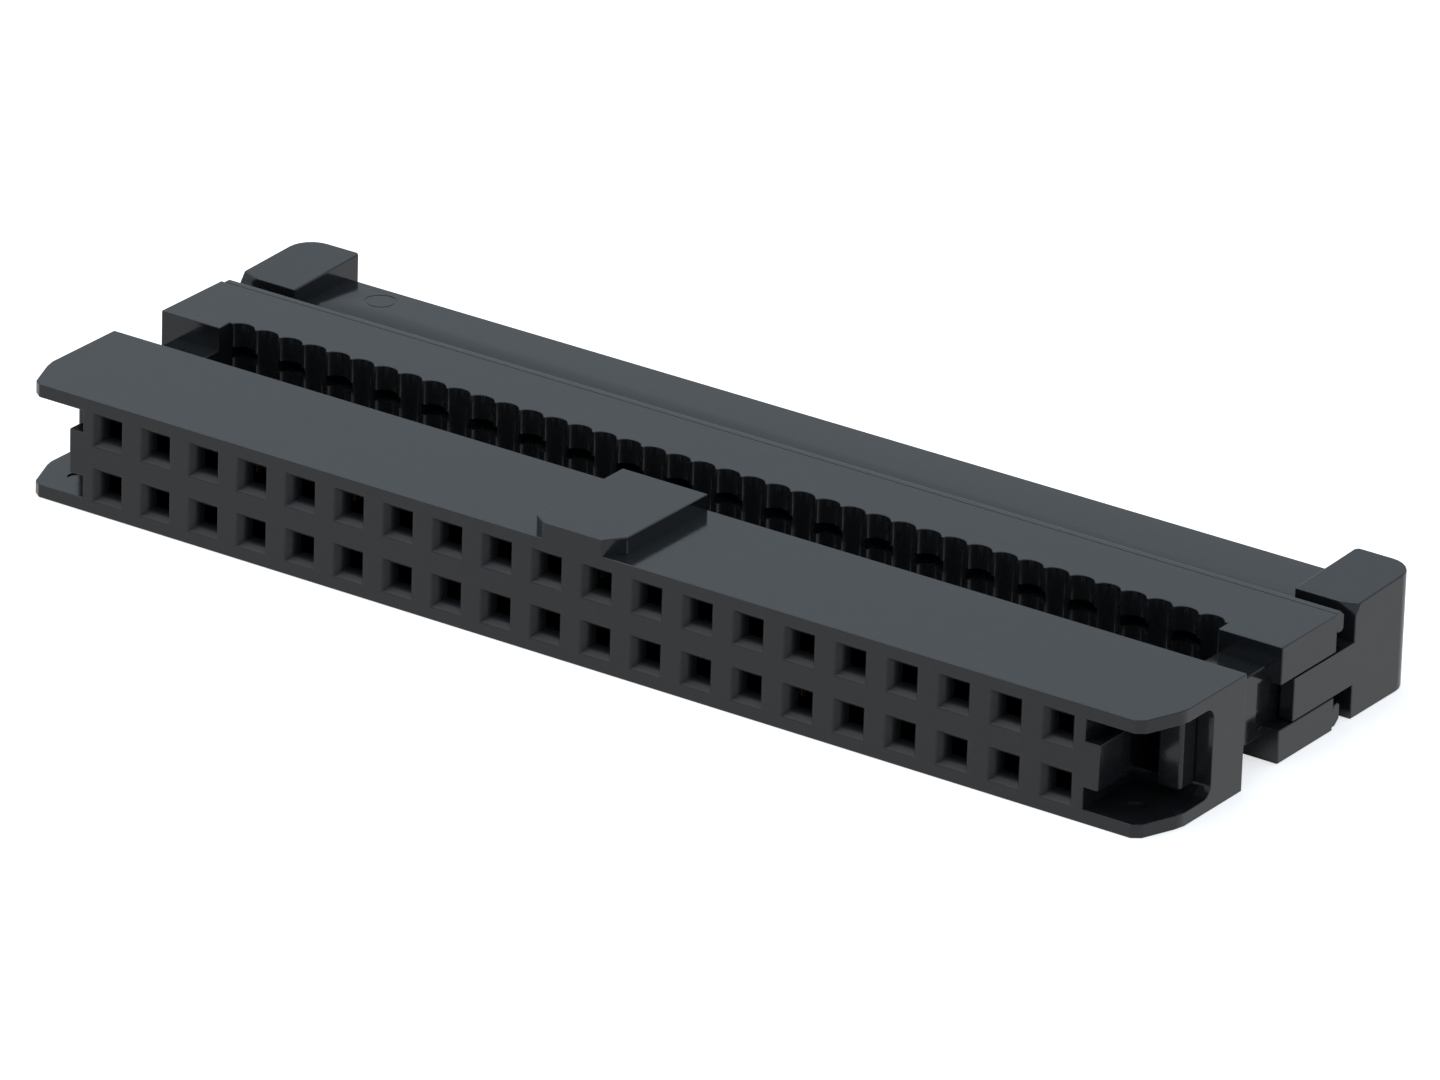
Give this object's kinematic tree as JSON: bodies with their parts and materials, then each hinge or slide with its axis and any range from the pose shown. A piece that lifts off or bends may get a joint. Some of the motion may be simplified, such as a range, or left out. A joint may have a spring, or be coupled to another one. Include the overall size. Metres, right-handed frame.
{
  "type": "idc ribbon cable socket",
  "caption": "Long two-row female ribbon-cable socket with a polarising key, lying on its side, its toothed cover open over the cable gap and a strain relief clipped to the back.",
  "frame": {"origin": "centre of the mating face, midway between the two rows of pin holes", "axes": "+X along the rows, +Y from the mating face to the strain relief, +Z towards the polarising key"},
  "size_m": [0.0578, 0.0202, 0.006],
  "materials": {
    "housing": "fine moulded texture, charcoal",
    "cover": "fine moulded texture, charcoal",
    "strain_relief": "fine moulded texture, charcoal",
    "contact": "tinned phosphor bronze strip"
  },
  "bodies": {
    "socket": {"housing": "housing", "contact_01": "contact", "contact_02": "contact", "contact_03": "contact", "contact_04": "contact", "contact_05": "contact", "contact_06": "contact", "contact_07": "contact", "contact_08": "contact", "contact_09": "contact", "contact_10": "contact", "contact_11": "contact", "contact_12": "contact", "contact_13": "contact", "contact_14": "contact", "contact_15": "contact", "contact_16": "contact", "contact_17": "contact", "contact_18": "contact", "contact_19": "contact", "contact_20": "contact", "contact_21": "contact", "contact_22": "contact", "contact_23": "contact", "contact_24": "contact", "contact_25": "contact", "contact_26": "contact", "contact_27": "contact", "contact_28": "contact", "contact_29": "contact", "contact_30": "contact", "contact_31": "contact", "contact_32": "contact", "contact_33": "contact", "contact_34": "contact", "contact_35": "contact", "contact_36": "contact", "contact_37": "contact", "contact_38": "contact", "contact_39": "contact", "contact_40": "contact"},
    "cap": {"cover": "cover", "strain_relief": "strain_relief"}
  },
  "joints": [
    {"name": "cover_press", "type": "slide", "parent": "socket", "child": "cap", "axis": [0, -1, 0], "range_m": [0, 0.003]}
  ]
}
